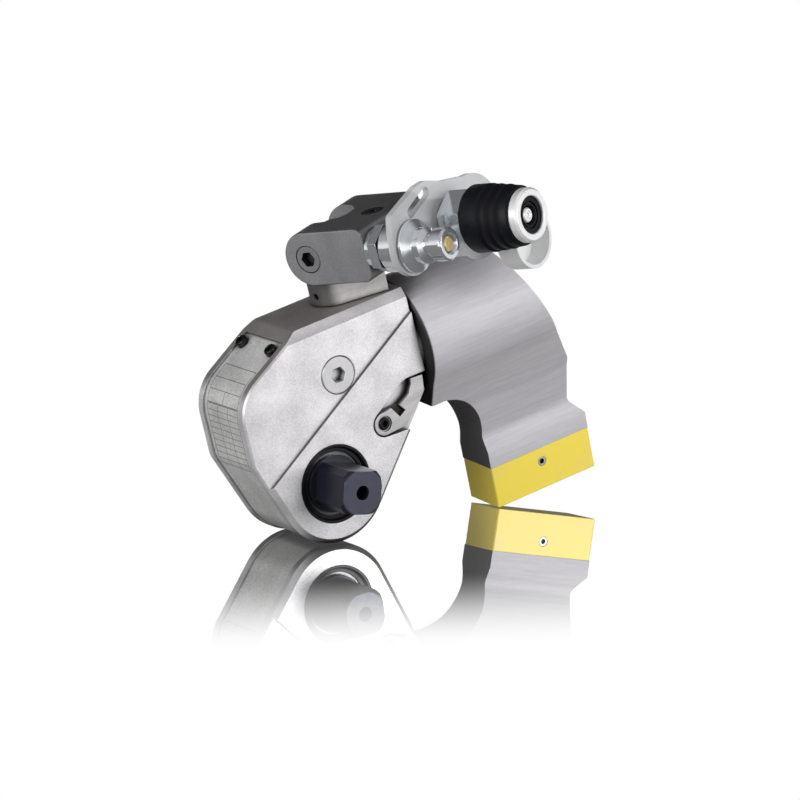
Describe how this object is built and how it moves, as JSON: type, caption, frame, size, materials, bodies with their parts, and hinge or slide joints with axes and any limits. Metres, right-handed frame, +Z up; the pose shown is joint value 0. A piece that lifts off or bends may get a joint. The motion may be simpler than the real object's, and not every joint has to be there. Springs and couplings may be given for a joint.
{
  "type": "hydraulic torque wrench",
  "caption": "Square drive hydraulic torque wrench: flat nosed housing, curved reaction arm with a yellow pad, and a turning and tilting hose swivel with a plug and a sleeve coupling.",
  "frame": {"origin": "on the square drive's axis, midway across the housing", "axes": "+Z up, -Y along the square drive towards its tip, +X towards the reaction arm; the tool is leaned back about Y so that it stands on its round nose and on the lower edge of the pad"},
  "size_m": [0.1915, 0.1154, 0.1611],
  "materials": {
    "satin_nickel": "fine satin nickel plate",
    "brushed_arm": "brushed along the cylinder",
    "dark_steel": "dark brushed steel",
    "black_oxide": "black oxide",
    "bright_chrome": "polished plate",
    "brass": "turned brass",
    "black_rubber": "moulded rubber",
    "yellow_pad": "satin yellow",
    "grey_plastic": "cloudy soft plastic",
    "inner_steel": "machined steel"
  },
  "bodies": {
    "tool": {"housing": "satin_nickel", "nose_shroud": "satin_nickel", "shroud_screws": "black_oxide", "side_plug": "satin_nickel", "drive_bushing": "black_oxide", "rear_bushing": "black_oxide", "rod_gland": "inner_steel", "rod_seal": "black_rubber", "cylinder_cap": "inner_steel"},
    "drive": {"ratchet_wheel": "inner_steel", "square_drive": "black_oxide", "drive_retainer": "inner_steel", "button_spring": "inner_steel"},
    "button": {"retainer_button": "inner_steel"},
    "crank": {"drive_plates": "inner_steel", "rod_pin": "inner_steel", "drive_pawl": "inner_steel"},
    "ram": {"piston": "inner_steel", "piston_seal": "black_rubber", "piston_rod": "inner_steel"},
    "lever": {"release_lever": "inner_steel", "lever_screw": "black_oxide", "holding_pawl": "inner_steel"},
    "arm": {"reaction_arm": "brushed_arm", "reaction_pad": "yellow_pad", "pad_screw": "bright_chrome", "arm_lock_screw": "black_oxide"},
    "swivel": {"swivel_base": "dark_steel", "stem_seals": "black_rubber", "base_screw": "black_oxide"},
    "yoke": {"swivel_yoke": "dark_steel", "pivot_pin": "dark_steel", "yoke_plug": "dark_steel", "nipple_adapter": "bright_chrome", "nipple_body": "bright_chrome", "nipple_spring": "inner_steel", "coupler_adapter": "bright_chrome", "coupler_body": "bright_chrome", "coupler_seal": "black_rubber", "coupler_spring": "inner_steel", "dust_cap_holder": "grey_plastic", "dust_cap": "grey_plastic"},
    "nipple_valve": {"nipple_poppet": "brass"},
    "coupler_valve": {"coupler_poppet": "bright_chrome"},
    "sleeve": {"locking_sleeve": "bright_chrome", "sleeve_grip": "black_rubber"}
  },
  "joints": [
    {"name": "drive_turn", "type": "hinge", "parent": "tool", "child": "drive", "pos_m": [0, 0, 0], "axis": [0, -1, 0], "continuous": true},
    {"name": "button_press", "type": "slide", "parent": "drive", "child": "button", "axis": [0, -1, 0], "range_m": [0, 0.002], "stiffness_N_per_m": 400, "springref_m": -0.004},
    {"name": "piston_stroke", "type": "slide", "parent": "tool", "child": "ram", "axis": [-0.9732, 0, -0.2299], "range_m": [0, 0.02]},
    {"name": "crank_swing", "type": "hinge", "parent": "tool", "child": "crank", "pos_m": [0, 0, 0], "axis": [0, 1, 0], "range_deg": [-26.04, 0]},
    {"name": "lever_pull", "type": "hinge", "parent": "tool", "child": "lever", "pos_m": [0.02582, 0, 0.02336], "axis": [0, 1, 0], "range_deg": [0, 8], "stiffness_Nm_per_rad": 0.4, "springref_deg": -17.19},
    {"name": "arm_slide", "type": "slide", "parent": "tool", "child": "arm", "axis": [0.9732, 0, 0.2299], "range_m": [0, 0.05]},
    {"name": "swivel_turn", "type": "hinge", "parent": "tool", "child": "swivel", "pos_m": [0.02244, 0, 0.07898], "axis": [-0.2299, 0, 0.9732], "range_deg": [-270, 12]},
    {"name": "yoke_tilt", "type": "hinge", "parent": "swivel", "child": "yoke", "pos_m": [0.01665, 0, 0.1035], "axis": [-0.8972, -0.3875, -0.212], "range_deg": [0, 90]},
    {"name": "nipple_valve_press", "type": "slide", "parent": "yoke", "child": "nipple_valve", "axis": [-0.3615, 0.9199, -0.1517], "range_m": [0, 0.003], "stiffness_N_per_m": 300, "springref_m": -0.004},
    {"name": "coupler_valve_press", "type": "slide", "parent": "yoke", "child": "coupler_valve", "axis": [-0.3615, 0.9199, -0.1517], "range_m": [0, 0.003], "stiffness_N_per_m": 300, "springref_m": -0.004},
    {"name": "sleeve_pull", "type": "slide", "parent": "yoke", "child": "sleeve", "axis": [-0.3615, 0.9199, -0.1517], "range_m": [0, 0.004], "stiffness_N_per_m": 500, "springref_m": -0.005}
  ],
  "couplings": [
    {"joint": "crank_swing", "follows": "piston_stroke", "rad_per_m": -22.717}
  ]
}
